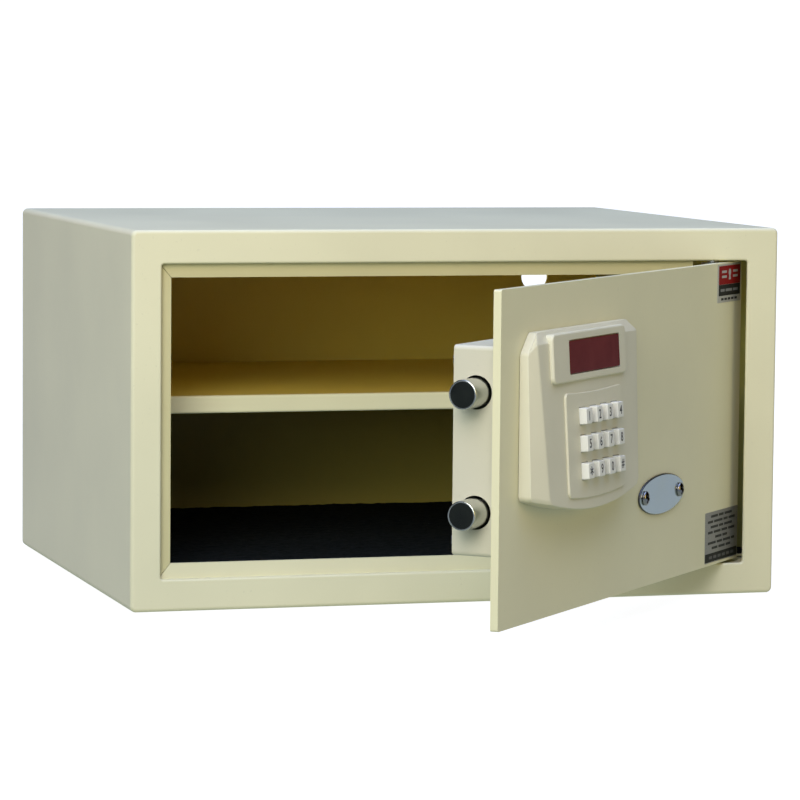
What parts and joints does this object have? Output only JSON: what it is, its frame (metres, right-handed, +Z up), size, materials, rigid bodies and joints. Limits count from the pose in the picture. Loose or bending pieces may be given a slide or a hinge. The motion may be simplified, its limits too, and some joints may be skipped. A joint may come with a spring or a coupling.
{
  "type": "in room safe",
  "caption": "Steel hotel room safe: hinged door with keypad lock, display, motor-driven bolts and override keyhole; cabinet with shelf and carpet mat.",
  "frame": {"origin": "centre of the cabinet's underside, 182.5 mm behind its front face", "axes": "+Z up, -Y out of the front of the cabinet, +X to the right as seen from the front, on the hinge side"},
  "size_m": [0.45, 0.6478, 0.25],
  "materials": {
    "body_paint": "satin",
    "housing_paint": "satin",
    "bezel_plastic": "fine texture",
    "key_plastic": "semi-gloss",
    "display_lens": "gloss",
    "chrome": "polished",
    "polished_cover": "polished",
    "screw_steel": "dark plated",
    "plated_steel": "zinc plated",
    "brass": "machined",
    "carpet": "needle felt",
    "black_plastic": "moulded",
    "circuit_board": "solder mask",
    "silicone": "matte",
    "cell_wrap": "gloss",
    "label_print": "printed foil"
  },
  "bodies": {
    "cabinet": {"cabinet_shell": "body_paint", "back_panel": "body_paint", "door_stop_top": "body_paint", "door_stop_left": "body_paint", "door_stop_bottom": "body_paint", "shelf": "body_paint", "shelf_bracket_left": "body_paint", "shelf_bracket_right": "body_paint", "floor_tray": "body_paint", "carpet_mat": "carpet", "hinge_bracket_top": "body_paint", "hinge_bracket_bottom": "body_paint", "hinge_pin_top": "plated_steel", "hinge_pin_bottom": "plated_steel"},
    "door": {"door_plate": "body_paint", "hinge_block_top": "plated_steel", "hinge_block_bottom": "plated_steel", "lock_housing": "housing_paint", "housing_screw_1": "screw_steel", "housing_screw_2": "screw_steel", "housing_screw_3": "screw_steel", "housing_screw_4": "screw_steel", "gear_motor": "plated_steel", "motor_bracket": "plated_steel", "carrier_guide": "black_plastic", "battery_box": "black_plastic", "battery_cell_1": "cell_wrap", "battery_cell_2": "cell_wrap", "battery_cell_3": "cell_wrap", "battery_cell_4": "cell_wrap", "control_board": "circuit_board", "override_cylinder": "brass", "override_cover": "polished_cover", "override_screw_left": "screw_steel", "override_screw_right": "screw_steel", "keypad_bezel": "bezel_plastic", "display_window": "display_lens", "display_module": "black_plastic", "key_mat": "silicone", "keypad_board": "circuit_board"},
    "boltwork": {"upper_bolt": "chrome", "lower_bolt": "chrome", "bolt_carrier": "plated_steel"},
    "drive_pinion": {"drive_pinion": "plated_steel"},
    "key_plug": {"override_plug": "brass", "override_cam": "plated_steel"},
    "battery_door": {"battery_door": "housing_paint"},
    "reset_button": {"reset_button": "black_plastic"},
    "key_1": {"key_1": "key_plastic"},
    "key_2": {"key_2": "key_plastic"},
    "key_3": {"key_3": "key_plastic"},
    "key_4": {"key_4": "key_plastic"},
    "key_5": {"key_5": "key_plastic"},
    "key_6": {"key_6": "key_plastic"},
    "key_7": {"key_7": "key_plastic"},
    "key_8": {"key_8": "key_plastic"},
    "key_star": {"key_star": "key_plastic"},
    "key_9": {"key_9": "key_plastic"},
    "key_0": {"key_0": "key_plastic"},
    "key_hash": {"key_hash": "key_plastic"}
  },
  "joints": [
    {"name": "door_hinge", "type": "hinge", "parent": "cabinet", "child": "door", "pos_m": [0.183, -0.1685, 0.125], "axis": [0, 0, 1], "range_deg": [-48, 57]},
    {"name": "bolt_slide", "type": "slide", "parent": "door", "child": "boltwork", "axis": [0.6691, 0.7431, 0], "range_m": [0, 0.018]},
    {"name": "pinion_spin", "type": "hinge", "parent": "door", "child": "drive_pinion", "pos_m": [-0.00128, -0.36831, 0.1286], "axis": [0, 0, 1], "range_deg": [-118, 0]},
    {"name": "key_turn", "type": "hinge", "parent": "door", "child": "key_plug", "pos_m": [0.09815, -0.26273, 0.0806], "axis": [0.7431, -0.6691, 0], "range_deg": [0, 90]},
    {"name": "battery_door_pull", "type": "slide", "parent": "door", "child": "battery_door", "axis": [-0.7431, 0.6691, 0], "range_m": [0, 0.02]},
    {"name": "reset_press", "type": "slide", "parent": "door", "child": "reset_button", "axis": [0.7431, -0.6691, 0], "range_m": [0, 0.0015], "stiffness_N_per_m": 400, "springref_m": -0.0005},
    {"name": "key_1_press", "type": "slide", "parent": "door", "child": "key_1", "axis": [-0.7418, 0.6679, -0.0599], "range_m": [0, 0.0015], "stiffness_N_per_m": 600, "springref_m": -0.0005},
    {"name": "key_2_press", "type": "slide", "parent": "door", "child": "key_2", "axis": [-0.7418, 0.6679, -0.0599], "range_m": [0, 0.0015], "stiffness_N_per_m": 600, "springref_m": -0.0005},
    {"name": "key_3_press", "type": "slide", "parent": "door", "child": "key_3", "axis": [-0.7418, 0.6679, -0.0599], "range_m": [0, 0.0015], "stiffness_N_per_m": 600, "springref_m": -0.0005},
    {"name": "key_4_press", "type": "slide", "parent": "door", "child": "key_4", "axis": [-0.7418, 0.6679, -0.0599], "range_m": [0, 0.0015], "stiffness_N_per_m": 600, "springref_m": -0.0005},
    {"name": "key_5_press", "type": "slide", "parent": "door", "child": "key_5", "axis": [-0.7418, 0.6679, -0.0599], "range_m": [0, 0.0015], "stiffness_N_per_m": 600, "springref_m": -0.0005},
    {"name": "key_6_press", "type": "slide", "parent": "door", "child": "key_6", "axis": [-0.7418, 0.6679, -0.0599], "range_m": [0, 0.0015], "stiffness_N_per_m": 600, "springref_m": -0.0005},
    {"name": "key_7_press", "type": "slide", "parent": "door", "child": "key_7", "axis": [-0.7418, 0.6679, -0.0599], "range_m": [0, 0.0015], "stiffness_N_per_m": 600, "springref_m": -0.0005},
    {"name": "key_8_press", "type": "slide", "parent": "door", "child": "key_8", "axis": [-0.7418, 0.6679, -0.0599], "range_m": [0, 0.0015], "stiffness_N_per_m": 600, "springref_m": -0.0005},
    {"name": "key_star_press", "type": "slide", "parent": "door", "child": "key_star", "axis": [-0.7418, 0.6679, -0.0599], "range_m": [0, 0.0015], "stiffness_N_per_m": 600, "springref_m": -0.0005},
    {"name": "key_9_press", "type": "slide", "parent": "door", "child": "key_9", "axis": [-0.7418, 0.6679, -0.0599], "range_m": [0, 0.0015], "stiffness_N_per_m": 600, "springref_m": -0.0005},
    {"name": "key_0_press", "type": "slide", "parent": "door", "child": "key_0", "axis": [-0.7418, 0.6679, -0.0599], "range_m": [0, 0.0015], "stiffness_N_per_m": 600, "springref_m": -0.0005},
    {"name": "key_hash_press", "type": "slide", "parent": "door", "child": "key_hash", "axis": [-0.7418, 0.6679, -0.0599], "range_m": [0, 0.0015], "stiffness_N_per_m": 600, "springref_m": -0.0005}
  ],
  "couplings": [
    {"joint": "pinion_spin", "follows": "bolt_slide", "rad_per_m": -114.29}
  ]
}
